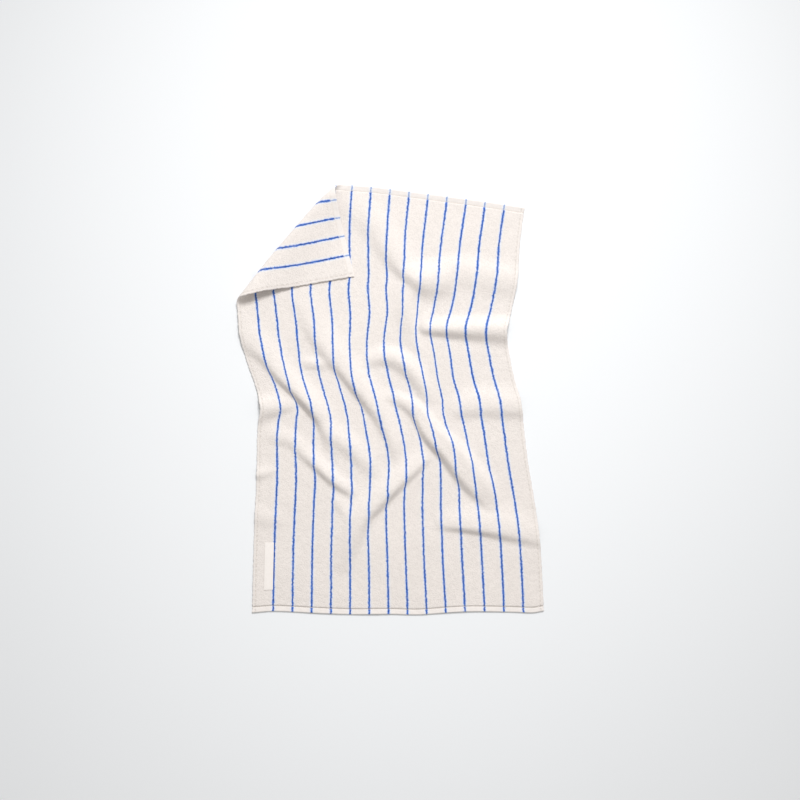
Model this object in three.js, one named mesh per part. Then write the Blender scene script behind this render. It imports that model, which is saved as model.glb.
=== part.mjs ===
// A terry hand towel lying on a flat surface, seen from above: its top-left corner is folded over onto the
// front and low wrinkles run across its middle. Millimetres, +X to the right, +Y towards the top hem, +Z up.
import * as THREE from 'three';

// Driving dimensions
const CLOTH_WIDTH = 500;
const CLOTH_LENGTH = 800;
const PILE_THICKNESS = 3;
const HEM_THICKNESS = 2;
const HEM_DEPTH = 10;
const HEM_STEP = 1.5;

// The sewn label, in the cloth's own measures: u runs across from the left side, v down from the top hem
const LABEL = { u: 19.5, width: 15.5, length: 86, fromBottomHem: 39, thickness: 0.6, gap: 0.3, steps: 10 };

// The folded corner mirrors the cloth in the line from CREASE.top on the top hem to CREASE.left on the left side.
// Each row of the roll has its share of that line, how far the fold lies inside it, and its radius.
const CREASE = { top: [-104, 368], left: [-262, 182] };
const ROLL_ROWS = [[0, 4, 11], [0.14, 1, 8], [0.4, 0, 7], [0.7, 0, 7.5], [1, 1.5, 11]];
const LAYER_GAP = 0.8;
const FLAP_SETTLE = 70;

// Plan of the four edges with the corner turned back flat: x, y
const EDGE_TOP = [[-266.5, 384], [-87, 368], [-30, 363.5], [34, 355.5], [99, 347], [162, 338.5], [230, 328]];
const EDGE_BOTTOM = [
  [-237.5, -366.5], [-199, -364], [-133, -367], [-67, -369.5], [-2, -369], [48, -370],
  [113, -365.5], [146, -364.5], [212, -365.5], [245, -366.5], [263, -363.5],
];
const EDGE_LEFT = [
  [-266.5, 384], [-267.5, 290], [-265.5, 225], [-267, 190], [-264, 165], [-261.5, 140], [-259, 111], [-246, 63],
  [-231, 20], [-223, -18], [-226.5, -38], [-228.5, -60], [-230, -137], [-234, -229], [-237.5, -366.5],
];
const EDGE_RIGHT = [
  [230, 328], [222, 265], [218, 205], [207, 148], [199.5, 115], [205, 72], [214, 30],
  [224, -5], [229, -50], [236, -108], [247, -174], [256, -240], [260.5, -305], [263, -363.5],
];

// Each wrinkle is a row of sections along its crest, from left to right or from top to bottom. far is the width of
// its side on the left hand, towards the top hem, near that of its other side, and back half that of its back.
const SECTION_COLUMNS = ['x', 'y', 'height', 'far', 'near', 'back'];
const WRINKLES = {
  upper: [
    [-92, 352, 0, 40, 30], [-55, 322, 4, 45, 34], [-22, 288, 6, 45, 34], [3, 250, 8, 45, 30],
    [22, 222, 9, 42, 20], [42, 208, 11, 40, 24], [62, 204, 14, 45, 46], [86, 212, 12, 40, 54],
    [112, 221, 7, 36, 48], [160, 214, 6, 36, 46], [240, 194, 5, 36, 40],
  ],
  'right crease': [
    [46, 120, 0, 12, 5], [62, 120, 8, 24, 12], [100, 120, 12, 28, 20], [150, 120, 13, 28, 28],
    [235, 120, 13, 28, 42],
  ],
  'beside the hollow': [
    [40, 206, 4, 14, 40], [34, 185, 6, 15, 40], [31, 160, 7, 16, 38], [36, 130, 6, 14, 36],
    [44, 100, 3, 12, 26], [58, 70, 0, 12, 12],
  ],
  'in the hollow': [[46, 116, 0, 8, 4], [60, 137, 4, 10, 5], [76, 158, 0, 10, 5]],
  centre: [
    [-52, 60, 0, 20, 15], [-15, 72, 7, 25, 22], [12, 68, 9, 25, 25], [35, 50, 9, 25, 24],
    [55, 22, 7, 22, 20], [68, -10, 0, 20, 12],
  ],
  'middle left': [
    [-168, 190, 0, 50, 25], [-146, 150, 4, 50, 25], [-131, 115, 6, 50, 23], [-107, 80, 8, 45, 21],
    [-80, 46, 10, 45, 15], [-57, 16, 12, 45, 13], [-31, -15, 11, 40, 15], [-13, -42, 8, 35, 16],
    [5, -82, 5, 30, 14], [15, -118, 0, 25, 12],
  ],
  'across to the middle left': [[-162, 66, 0, 15, 12], [-130, 60, 4, 16, 13], [-98, 58, 0, 15, 12]],
  left: [
    [-270, 130, 3, 45, 28], [-240, 98, 6, 45, 26], [-215, 72, 8, 45, 18], [-190, 38, 10, 42, 12],
    [-158, 5, 13, 40, 8], [-134, -22, 13, 38, 7], [-118, -44, 8, 34, 11], [-105, -72, 5, 28, 15],
    [-92, -105, 0, 20, 12],
  ],
  'below the left': [
    [-118, -48, 0, 25, 15], [-90, -66, 5, 28, 22], [-62, -90, 6, 28, 22], [-35, -118, 3, 25, 20],
    [-20, -138, 0, 20, 15],
  ],
  'left edge': [[-245, -18, 10, 30, 46], [-210, -15, 9, 30, 30], [-185, -14, 5, 28, 14], [-158, -12, 0, 20, 8]],
  'lower left': [
    [-225, -60, 0, 25, 22], [-195, -64, 3, 25, 20], [-168, -74, 4, 25, 16], [-150, -93, 5, 26, 12],
    [-124, -118, 8, 26, 9], [-100, -141, 8, 26, 8], [-78, -156, 6, 24, 8], [-58, -168, 0, 18, 6],
  ],
  'foot of the lower left': [[-106, -160, 0, 20, 10], [-86, -186, 3, 20, 10], [-70, -214, 0, 20, 10]],
  'lower left edge': [[-245, -131, 5, 22, 11], [-220, -130, 4, 20, 9], [-190, -121, 0, 18, 7]],
  'lowest left edge': [[-245, -199, 3, 26, 24], [-210, -204, 2.5, 26, 22], [-176, -212, 0, 20, 16]],
  'lower middle': [
    [-84, -302, 0, 30, 20], [-76, -272, 4, 35, 22], [-68, -246, 7, 40, 25], [-57, -221, 9, 44, 24],
    [-42, -199, 10, 46, 19], [-23, -184, 10, 46, 14], [-5, -167, 11, 46, 11], [12, -150, 10, 46, 10],
    [32, -132, 8, 42, 9], [55, -111, 5, 35, 8], [70, -96, 0, 25, 8],
  ],
  'long roll': [
    [-22, 8, 0, 20, 14, 0], [15, 0, 5, 12, 14, 2], [45, -20, 9, 10, 11, 6], [72, -59, 13, 10, 9, 11],
    [102, -90, 14, 18, 12, 11], [129, -124, 13, 24, 16, 11], [154, -154, 10, 26, 17, 9], [180, -192, 0, 20, 12, 3],
  ],
  'right edge': [[98, -32, 0, 30, 8], [125, -17, 5, 40, 24], [165, -12, 7, 45, 28], [262, -14, 7, 45, 30]],
  'lower right': [
    [72, -218, 0, 40, 6], [95, -219, 4, 45, 8], [125, -221, 8, 50, 9], [155, -224, 9, 55, 12],
    [200, -230, 8, 55, 18], [270, -244, 4, 50, 20],
  ],
};
const CREST_STEPS = 6;

// Slips: where the threads lie pulled to one side: around (x, y), by shift along X, over reachX and reachY
const SLIPS = [
  { x: 120, y: 215, shift: -7, reachX: 90, reachY: 70 },
  { x: -25, y: 150, shift: 8, reachX: 60, reachY: 45 },
  { x: 110, y: 115, shift: -9, reachX: 65, reachY: 40 },
  { x: -140, y: 120, shift: 7, reachX: 90, reachY: 45 },
  { x: 120, y: 38, shift: -9, reachX: 52, reachY: 45 },
  { x: 135, y: 25, shift: -5.5, reachX: 55, reachY: 110 },
  { x: -45, y: 30, shift: -7, reachX: 60, reachY: 45 },
  { x: -145, y: 25, shift: -5, reachX: 60, reachY: 35 },
  { x: -205, y: -5, shift: 4, reachX: 30, reachY: 40 },
  { x: 85, y: -25, shift: -7, reachX: 50, reachY: 35 },
  { x: -20, y: -32, shift: -5, reachX: 38, reachY: 30 },
  { x: 160, y: -20, shift: -6, reachX: 60, reachY: 40 },
  { x: 168, y: -95, shift: -5, reachX: 35, reachY: 70 },
  { x: -10, y: -105, shift: 5, reachX: 70, reachY: 45 },
  { x: -120, y: -150, shift: 2.5, reachX: 100, reachY: 60 },
  { x: 100, y: -270, shift: -4.5, reachX: 90, reachY: 80 },
  { x: -190, y: 385, shift: 4, reachX: 90, reachY: 70 },
];

// The relief is held at the points of an even plan grid and softened, so that no bend of it is sharp
const PLAN = { step: 2, reachX: 300, reachY: 410, softeningPasses: 4 };

// Mesh: threads that are followed to lay the cloth out, and the spacing of the solid's points
const THREADS_ACROSS = 100;
const THREADS_ALONG = 160;
const LAYING_PASSES = 10;
const POINT_SPACING = { fine: 4.6, coarse: 14.5, sagitta: 0.35, candidate: 2.3 };

const clamp01 = (t) => Math.min(Math.max(t, 0), 1);
const ease = (t) => clamp01(t) ** 2 * (3 - 2 * clamp01(t));
const mix = (a, b, t) => a + (b - a) * t;

// Smooth curve through a table of rows: the value in column `out` where column `by` equals t
function throughRows(rows, by, out, t) {
  const table = rows.map((row) => [row[by], row[out]]).sort((a, b) => a[0] - b[0]);
  const last = table.length - 1;
  const rise = (i, j) => (table[j][1] - table[i][1]) / (table[j][0] - table[i][0]);
  const slope = (i) => rise(Math.max(i - 1, 0), Math.min(i + 1, last));
  let i = table.findIndex((row) => row[0] > t) - 1;
  if (i < 0) i = t < table[0][0] ? 0 : last - 1;
  const span = table[i + 1][0] - table[i][0];
  const s = (t - table[i][0]) / span;
  return (2 * s ** 3 - 3 * s ** 2 + 1) * table[i][1] + (s ** 3 - 2 * s ** 2 + s) * span * slope(i)
    + (3 * s ** 2 - 2 * s ** 3) * table[i + 1][1] + (s ** 3 - s ** 2) * span * slope(i + 1);
}

// Height left at distance q from the crest of a wrinkle: two round bends with a straight slope between them
function rampHeight(q, height, width) {
  if (height < 1e-6 || q >= width) return 0;
  const steep = 2 * height / width;
  const secant = Math.hypot(1, steep);
  const bend = height / (2 * (secant - 1));
  const bendWidth = bend * steep / secant;
  if (q <= 0) return height;
  if (q < bendWidth) return height - bend + Math.sqrt(bend ** 2 - q ** 2);
  if (q > width - bendWidth) return bend - Math.sqrt(bend ** 2 - (width - q) ** 2);
  return height - bend * (1 - 1 / secant) - (q - bendWidth) * steep;
}

// Even steps along a wrinkle's crest, smooth through its sections
function crestLine(sections) {
  const rows = sections.map((section, k) => [k, ...section, 0].slice(0, SECTION_COLUMNS.length + 1));
  const count = (rows.length - 1) * CREST_STEPS;
  return Array.from({ length: count + 1 }, (_, k) => Object.fromEntries(
    SECTION_COLUMNS.map((name, column) => [name, throughRows(rows, 0, column + 1, k / CREST_STEPS)])));
}

// Adds a wrinkle's height to the relief, by the nearest place on its crest
function addWrinkle(relief, sections) {
  const crest = crestLine(sections);
  const reach = Math.max(...crest.map(({ far, near, back }) => Math.max(far, near) + back));
  const span = (name, limit) => {
    const values = crest.map((place) => place[name]);
    const first = Math.floor((Math.min(...values) - reach + limit) / PLAN.step);
    const last = Math.ceil((Math.max(...values) + reach + limit) / PLAN.step);
    return [Math.max(first, 0), Math.min(last, 2 * limit / PLAN.step)];
  };
  const [firstX, lastX] = span('x', PLAN.reachX);
  const [firstY, lastY] = span('y', PLAN.reachY);
  for (let j = firstY; j <= lastY; j++) {
    for (let i = firstX; i <= lastX; i++) {
      const x = i * PLAN.step - PLAN.reachX;
      const y = j * PLAN.step - PLAN.reachY;
      let nearest = { away: Infinity };
      for (let k = 1; k < crest.length; k++) {
        const [start, end] = [crest[k - 1], crest[k]];
        const stepX = end.x - start.x;
        const stepY = end.y - start.y;
        const share = clamp01(((x - start.x) * stepX + (y - start.y) * stepY) / (stepX ** 2 + stepY ** 2));
        const offX = x - start.x - share * stepX;
        const offY = y - start.y - share * stepY;
        const away = Math.hypot(offX, offY);
        if (away < nearest.away) nearest = { away, share, start, end, onLeft: stepX * offY > stepY * offX };
      }
      const here = (name) => mix(nearest.start[name], nearest.end[name], nearest.share);
      const width = here(nearest.onLeft ? 'far' : 'near');
      relief[j][i] += rampHeight(nearest.away - here('back'), here('height'), width);
    }
  }
}

// One pass of evening out between each value of a row and its neighbours
const softened = (row) => row.map((value, i) => ((row[i - 1] ?? value) + 2 * value + (row[i + 1] ?? value)) / 4);
const turned = (grid) => grid[0].map((_, i) => grid.map((row) => row[i]));

// Height of what the cloth lies on, at the points of an even plan grid
function makeRelief() {
  let relief = Array.from({ length: 2 * PLAN.reachY / PLAN.step + 1 },
    () => new Array(2 * PLAN.reachX / PLAN.step + 1).fill(0));
  Object.values(WRINKLES).forEach((sections) => addWrinkle(relief, sections));
  for (let pass = 0; pass < PLAN.softeningPasses; pass++) {
    relief = turned(turned(relief.map(softened)).map(softened));
  }
  return relief;
}

const relief = makeRelief();

// Height between the grid's points, by quadratic spline, so that slopes run on smoothly
function groundHeight(x, y) {
  const column = (x + PLAN.reachX) / PLAN.step;
  const row = (y + PLAN.reachY) / PLAN.step;
  const i = Math.min(Math.max(Math.round(column), 1), relief[0].length - 2);
  const j = Math.min(Math.max(Math.round(row), 1), relief.length - 2);
  const weights = (t) => [(0.5 - t) ** 2 / 2, 0.75 - t ** 2, (0.5 + t) ** 2 / 2];
  const across = weights(column - i);
  return weights(row - j).reduce((sum, weight, dj) => sum
    + weight * across.reduce((part, share, di) => part + share * relief[j + dj - 1][i + di - 1], 0), 0);
}

// Slides the points of one thread along it until equal lengths of thread lie between them
function evenOut(thread) {
  const run = [0];
  for (let i = 1; i < thread.length; i++) run.push(run[i - 1] + thread[i].distanceTo(thread[i - 1]));
  const total = run[run.length - 1];
  const before = thread.map((point) => point.clone());
  let k = 1;
  for (let i = 1; i < thread.length - 1; i++) {
    const wanted = total * i / (thread.length - 1);
    while (run[k] < wanted) k++;
    thread[i].lerpVectors(before[k - 1], before[k], (wanted - run[k - 1]) / (run[k] - run[k - 1]));
  }
}

// The cloth laid out over its wrinkles, corner flat: rows of points at even steps of its threads
function layCloth() {
  const across = (rows, u) => {
    const x = mix(rows[0][0], rows[rows.length - 1][0], u);
    return [x, throughRows(rows, 0, 1, x)];
  };
  const along = (rows, v) => {
    const y = mix(rows[0][1], rows[rows.length - 1][1], v);
    return [throughRows(rows, 1, 0, y), y];
  };
  const corners = [EDGE_TOP[0], EDGE_TOP.at(-1), EDGE_BOTTOM[0], EDGE_BOTTOM.at(-1)];
  const grid = [];
  for (let j = 0; j <= THREADS_ALONG; j++) {
    const v = j / THREADS_ALONG;
    const [left, right] = [along(EDGE_LEFT, v), along(EDGE_RIGHT, v)];
    grid.push([]);
    for (let i = 0; i <= THREADS_ACROSS; i++) {
      const u = i / THREADS_ACROSS;
      const [top, bottom] = [across(EDGE_TOP, u), across(EDGE_BOTTOM, u)];
      const blend = (k) => mix(left[k], right[k], u) + mix(top[k], bottom[k], v)
        - mix(mix(corners[0][k], corners[1][k], u), mix(corners[2][k], corners[3][k], u), v);
      grid[j].push(new THREE.Vector3(blend(0), blend(1), 0));
    }
  }
  const columns = grid[0].map((_, i) => grid.map((row) => row[i]));
  const drop = () => grid.flat().forEach((point) => { point.z = groundHeight(point.x, point.y); });
  for (let pass = 0; pass < LAYING_PASSES; pass++) {
    drop();
    grid.forEach(evenOut);
    drop();
    columns.forEach(evenOut);
  }
  grid.forEach((row) => row.forEach((point, i) => {
    const inside = 2 * Math.sqrt((i / THREADS_ACROSS) * (1 - i / THREADS_ACROSS));
    point.x += SLIPS.reduce((sum, slip) => sum + slip.shift * inside
      * Math.exp(-(((point.x - slip.x) / slip.reachX) ** 2) - ((point.y - slip.y) / slip.reachY) ** 2), 0);
  }));
  return grid;
}

const laid = layCloth();

// Plan position of the point u across and v down the cloth, corner flat
function planAt(u, v) {
  const across = clamp01(u / CLOTH_WIDTH) * THREADS_ACROSS;
  const along = clamp01(v / CLOTH_LENGTH) * THREADS_ALONG;
  const i = Math.min(Math.floor(across), THREADS_ACROSS - 1);
  const j = Math.min(Math.floor(along), THREADS_ALONG - 1);
  const pick = (k) => mix(mix(laid[j][i][k], laid[j][i + 1][k], across - i),
    mix(laid[j + 1][i][k], laid[j + 1][i + 1][k], across - i), along - j);
  return [pick('x'), pick('y')];
}

// The crease's own axes: p runs along it from the top hem, q away from the towel
const creaseLength = Math.hypot(CREASE.left[0] - CREASE.top[0], CREASE.left[1] - CREASE.top[1]);
const creaseX = (CREASE.left[0] - CREASE.top[0]) / creaseLength;
const creaseY = (CREASE.left[1] - CREASE.top[1]) / creaseLength;

const restingHeight = (v) => thicknessAt(v) / 2;

// Pile in the field, flat weave in the two end hems
function thicknessAt(v) {
  const fromEnd = Math.min(v, CLOTH_LENGTH - v);
  return mix(HEM_THICKNESS, PILE_THICKNESS, ease((fromEnd - HEM_DEPTH) / HEM_STEP));
}

// Middle of the cloth's thickness at u across and v down, with the corner folded over
function clothAt(u, v) {
  const [x, y] = planAt(u, v);
  const fromTopX = x - CREASE.top[0];
  const fromTopY = y - CREASE.top[1];
  const p = fromTopX * creaseX + fromTopY * creaseY;
  const q = fromTopX * creaseY - fromTopY * creaseX;
  const share = clamp01(p / creaseLength);
  const radius = throughRows(ROLL_ROWS, 0, 2, share);
  const start = -throughRows(ROLL_ROWS, 0, 1, share) - radius * Math.PI / 2;
  const past = q - start;
  const place = (across, z) => new THREE.Vector3(
    CREASE.top[0] + p * creaseX + across * creaseY, CREASE.top[1] + p * creaseY - across * creaseX, z);
  if (past <= 0) return new THREE.Vector3(x, y, groundHeight(x, y) + restingHeight(v));
  if (past < Math.PI * radius) {
    const turn = past / radius;
    const spot = place(start + radius * Math.sin(turn), 0);
    const ground = groundHeight(spot.x, spot.y) * (1 - ease(turn / Math.PI));
    spot.z = restingHeight(v) + ground + radius * (1 - Math.cos(turn));
    return spot;
  }
  const back = past - Math.PI * radius;
  const layer = PILE_THICKNESS + LAYER_GAP;
  const settled = ease(back / FLAP_SETTLE);
  const spot = place(start - back, 0);
  spot.z = restingHeight(v) + mix(2 * radius, layer + groundHeight(spot.x, spot.y), settled);
  return spot;
}

function frameAt(u, v) {
  const step = 1;
  const along = (du, dv) => clothAt(Math.min(u + du, CLOTH_WIDTH), Math.min(v + dv, CLOTH_LENGTH))
    .sub(clothAt(Math.max(u - du, 0), Math.max(v - dv, 0)));
  const up = along(0, step).cross(along(step, 0)).normalize();
  return { point: clothAt(u, v), up };
}

// Distance wanted between the solid's points: short where the cloth bends, long where it is flat
function spacingAt(u, v) {
  const reach = 5;
  const here = clothAt(u, v);
  const bend = (du, dv) => clothAt(u + du, v + dv).add(clothAt(u - du, v - dv)).addScaledVector(here, -2).length();
  const inU = u > reach && u < CLOTH_WIDTH - reach ? bend(reach, 0) : 0;
  const inV = v > reach && v < CLOTH_LENGTH - reach ? bend(0, reach) : 0;
  const curvature = Math.max(inU, inV, 1e-6) / reach ** 2;
  return Math.min(Math.max(Math.sqrt(8 * POINT_SPACING.sagitta / curvature), POINT_SPACING.fine),
    POINT_SPACING.coarse);
}

// Points of the cloth: its rim, a pair of rows at each end hem's inner edge, then the field, fine places first
function choosePoints() {
  const points = [];
  const hemRows = [HEM_DEPTH, HEM_DEPTH + HEM_STEP];
  const rows = [0, ...hemRows, ...hemRows.map((d) => CLOTH_LENGTH - d), CLOTH_LENGTH];
  for (const v of rows) {
    for (let u = 0; u < CLOTH_WIDTH - POINT_SPACING.fine / 2; u += spacingAt(u, v)) points.push([u, v]);
    points.push([CLOTH_WIDTH, v]);
  }
  const clearOfHem = HEM_DEPTH + HEM_STEP + POINT_SPACING.fine / 2;
  for (const u of [0, CLOTH_WIDTH]) {
    for (let v = clearOfHem; v < CLOTH_LENGTH - clearOfHem; v += spacingAt(u, v)) points.push([u, v]);
  }
  const candidates = [];
  for (let j = 1; j * POINT_SPACING.candidate < CLOTH_LENGTH; j++) {
    for (let i = 1; i * POINT_SPACING.candidate < CLOTH_WIDTH; i++) {
      const u = (i + (j % 2) / 2) * POINT_SPACING.candidate;
      const v = j * POINT_SPACING.candidate;
      if (v > clearOfHem && v < CLOTH_LENGTH - clearOfHem && u < CLOTH_WIDTH) {
        candidates.push([u, v, spacingAt(u, v)]);
      }
    }
  }
  candidates.sort((a, b) => a[2] - b[2]);
  const cell = POINT_SPACING.coarse;
  const buckets = new Map();
  const key = (u, v) => `${Math.floor(u / cell)},${Math.floor(v / cell)}`;
  const store = (point) => {
    const name = key(point[0], point[1]);
    if (!buckets.has(name)) buckets.set(name, []);
    buckets.get(name).push(point);
  };
  const isFree = ([u, v, spacing]) => {
    for (const du of [-cell, 0, cell]) {
      for (const dv of [-cell, 0, cell]) {
        const near = buckets.get(key(u + du, v + dv)) ?? [];
        if (near.some((point) => Math.hypot(point[0] - u, point[1] - v) < spacing * 0.9)) return false;
      }
    }
    return true;
  };
  points.forEach(store);
  for (const candidate of candidates) {
    if (isFree(candidate)) {
      store(candidate);
      points.push(candidate.slice(0, 2));
    }
  }
  return points;
}

// Delaunay triangles over the points, each with its corners counter-clockwise in (u, v)
function triangulate(points) {
  // A rim bowed out by a hair keeps the points on each side out of line
  const hair = 0.02;
  const bowed = points.map(([u, v]) => [
    u + hair * Math.sign(u - CLOTH_WIDTH / 2) * v * (CLOTH_LENGTH - v) / CLOTH_LENGTH ** 2,
    v + hair * Math.sign(v - CLOTH_LENGTH / 2) * u * (CLOTH_WIDTH - u) / CLOTH_WIDTH ** 2,
  ]);
  const far = 1e6;
  const all = [...bowed, [-far, -far], [far, -far], [0, far]];
  const circled = (a, b, c) => {
    const [ax, ay] = all[a];
    const [bx, by] = [all[b][0] - ax, all[b][1] - ay];
    const [cx, cy] = [all[c][0] - ax, all[c][1] - ay];
    const d = 2 * (bx * cy - by * cx);
    const x = (cy * (bx ** 2 + by ** 2) - by * (cx ** 2 + cy ** 2)) / d;
    const y = (bx * (cx ** 2 + cy ** 2) - cx * (bx ** 2 + by ** 2)) / d;
    return { corners: [a, b, c], x: ax + x, y: ay + y, r2: x ** 2 + y ** 2 };
  };
  let triangles = [circled(points.length, points.length + 1, points.length + 2)];
  bowed.forEach(([u, v], index) => {
    const edges = new Map();
    triangles = triangles.filter((t) => {
      if ((t.x - u) ** 2 + (t.y - v) ** 2 >= t.r2) return true;
      t.corners.forEach((a, k) => {
        const b = t.corners[(k + 1) % 3];
        if (!edges.delete(`${b},${a}`)) edges.set(`${a},${b}`, [a, b]);
      });
      return false;
    });
    edges.forEach(([a, b]) => triangles.push(circled(a, b, index)));
  });
  return triangles.map((t) => t.corners).filter((corners) => corners.every((c) => c < points.length));
}

// A closed sheet over the points: two faces, half the thickness to each side of the middle, and the rim
function sheetGeometry(points, triangles, faces) {
  const middle = points.map(([u, v]) => frameAt(u, v));
  const side = (offset) => middle.map(({ point, up }, i) => point.clone().addScaledVector(up, offset(points[i])));
  const vertices = [...side(faces.top), ...side(faces.bottom)];
  const count = points.length;
  const index = [];
  const rim = new Map();
  for (const [a, b, c] of triangles) {
    // (u, v) has v running down, so counter-clockwise there is clockwise from above
    index.push(a, c, b, a + count, b + count, c + count);
    for (const [p, q] of [[a, c], [c, b], [b, a]]) {
      if (!rim.delete(`${q},${p}`)) rim.set(`${p},${q}`, [p, q]);
    }
  }
  rim.forEach(([p, q]) => index.push(p, p + count, q + count, p, q + count, q));
  const geometry = new THREE.BufferGeometry();
  geometry.setFromPoints(vertices);
  geometry.setIndex(index);
  return geometry;
}

function towelGeometry() {
  const points = choosePoints();
  const half = ([, v]) => thicknessAt(v) / 2;
  return sheetGeometry(points, triangulate(points), { top: half, bottom: (point) => -half(point) });
}

// The label lies on the cloth's front with a hair of clearance
function labelGeometry() {
  const points = [];
  const triangles = [];
  const top = CLOTH_LENGTH - LABEL.fromBottomHem - LABEL.length;
  for (let k = 0; k <= LABEL.steps; k++) {
    const v = top + LABEL.length * k / LABEL.steps;
    points.push([LABEL.u, v], [LABEL.u + LABEL.width, v]);
    if (k < LABEL.steps) {
      const a = 2 * k;
      triangles.push([a, a + 1, a + 3], [a, a + 3, a + 2]);
    }
  }
  const underside = PILE_THICKNESS / 2 + LABEL.gap;
  return sheetGeometry(points, triangles, { top: () => underside + LABEL.thickness, bottom: () => underside });
}

const terry = new THREE.MeshStandardMaterial({ color: 0xf0e9e1, roughness: 0.95, metalness: 0 });
const wovenTape = new THREE.MeshStandardMaterial({ color: 0xf6f1ed, roughness: 0.7, metalness: 0 });

const towel = new THREE.Mesh(towelGeometry(), terry);
towel.name = 'towel';
const label = new THREE.Mesh(labelGeometry(), wovenTape);
label.name = 'label';

// The group stands on z = 0 with the middle of the towel's outline at its origin
const group = new THREE.Group();
group.add(towel, label);
const middle = new THREE.Box3().setFromObject(towel).getCenter(new THREE.Vector3());
group.position.set(-middle.x, -middle.y, 0);
group.updateMatrixWorld(true);

export default group;
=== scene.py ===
"""A striped terry hand towel with one corner folded over, lying on a pale floor.

It is laid out as an add-on and run as a script. Each operator makes one piece, or a group of like pieces,
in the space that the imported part's solids hold. The cloth is worked out in millimetres in the plan of the
part, and its meshes are in metres: +X to the right, +Y towards the top hem, +Z up.
"""
from collections import namedtuple
from functools import lru_cache
from math import radians

import bpy
import numpy as np
from bpy.props import FloatProperty, FloatVectorProperty, IntProperty, PointerProperty
from bpy.types import Operator, Panel, PropertyGroup
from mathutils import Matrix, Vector


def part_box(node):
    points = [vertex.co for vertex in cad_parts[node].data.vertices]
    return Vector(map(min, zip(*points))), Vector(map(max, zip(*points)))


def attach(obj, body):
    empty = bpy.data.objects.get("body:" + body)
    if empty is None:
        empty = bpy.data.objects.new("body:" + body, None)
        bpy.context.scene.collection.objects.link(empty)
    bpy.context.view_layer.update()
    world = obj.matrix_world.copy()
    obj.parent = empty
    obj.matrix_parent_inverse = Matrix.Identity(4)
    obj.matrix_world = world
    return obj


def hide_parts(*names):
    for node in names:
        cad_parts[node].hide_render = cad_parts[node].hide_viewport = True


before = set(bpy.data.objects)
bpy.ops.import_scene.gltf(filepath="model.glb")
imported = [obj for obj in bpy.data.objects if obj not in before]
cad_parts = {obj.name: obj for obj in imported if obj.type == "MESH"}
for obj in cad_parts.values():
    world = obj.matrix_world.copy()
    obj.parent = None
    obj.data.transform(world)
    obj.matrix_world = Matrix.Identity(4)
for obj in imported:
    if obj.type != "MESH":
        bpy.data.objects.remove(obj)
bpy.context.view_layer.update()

bl_info = {
    "name": "Striped hand towel",
    "version": (1, 0, 0),
    "blender": (4, 5, 0),
    "location": "View3D > Sidebar > Hand towel",
    "description": "Makes a striped terry hand towel with a folded corner, its sewing and its label",
    "category": "Object",
}

MM = 0.001

# Middle of the picture in the cloth's plan, and the floor's drop below the towel
PHOTO_MIDDLE = (16.3, -1.7)
FLOOR_DROP = 0.0002

# Cut size of the cloth, and the width over which the flat end hem thickens into pile, as in the part
CLOTH_WIDTH = 500
CLOTH_LENGTH = 800
HEM_STEP = 1.5

# The sewn label, in the cloth's own measures: u runs across from the left side, v down from the top hem
LABEL_U = 19.5
LABEL_WIDTH = 15.5
LABEL_LENGTH = 86
LABEL_FROM_BOTTOM_HEM = 39
LABEL_GAP = 0.3
LABEL_THICKNESS = 0.6
LABEL_SEAM_IN = 1.2

# The folded corner mirrors the cloth in the line from CREASE_TOP on the top hem to CREASE_LEFT on the left
# side. Each row of the roll has its share of that line, how far the fold lies inside it, and its radius.
CREASE_TOP = (-104, 368)
CREASE_LEFT = (-262, 182)
ROLL_ROWS = [(0, 4, 11), (0.14, 1, 8), (0.4, 0, 7), (0.7, 0, 7.5), (1, 1.5, 11)]
LAYER_GAP = 0.8
FLAP_SETTLE = 70

# Plan of the four edges with the corner turned back flat: x, y
EDGE_TOP = [(-266.5, 384), (-87, 368), (-30, 363.5), (34, 355.5), (99, 347), (162, 338.5), (230, 328)]
EDGE_BOTTOM = [
    (-237.5, -366.5), (-199, -364), (-133, -367), (-67, -369.5), (-2, -369), (48, -370),
    (113, -365.5), (146, -364.5), (212, -365.5), (245, -366.5), (263, -363.5),
]
EDGE_LEFT = [
    (-266.5, 384), (-267.5, 290), (-265.5, 225), (-267, 190), (-264, 165), (-261.5, 140), (-259, 111),
    (-246, 63), (-231, 20), (-223, -18), (-226.5, -38), (-228.5, -60), (-230, -137), (-234, -229),
    (-237.5, -366.5),
]
EDGE_RIGHT = [
    (230, 328), (222, 265), (218, 205), (207, 148), (199.5, 115), (205, 72), (214, 30),
    (224, -5), (229, -50), (236, -108), (247, -174), (256, -240), (260.5, -305), (263, -363.5),
]

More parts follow.
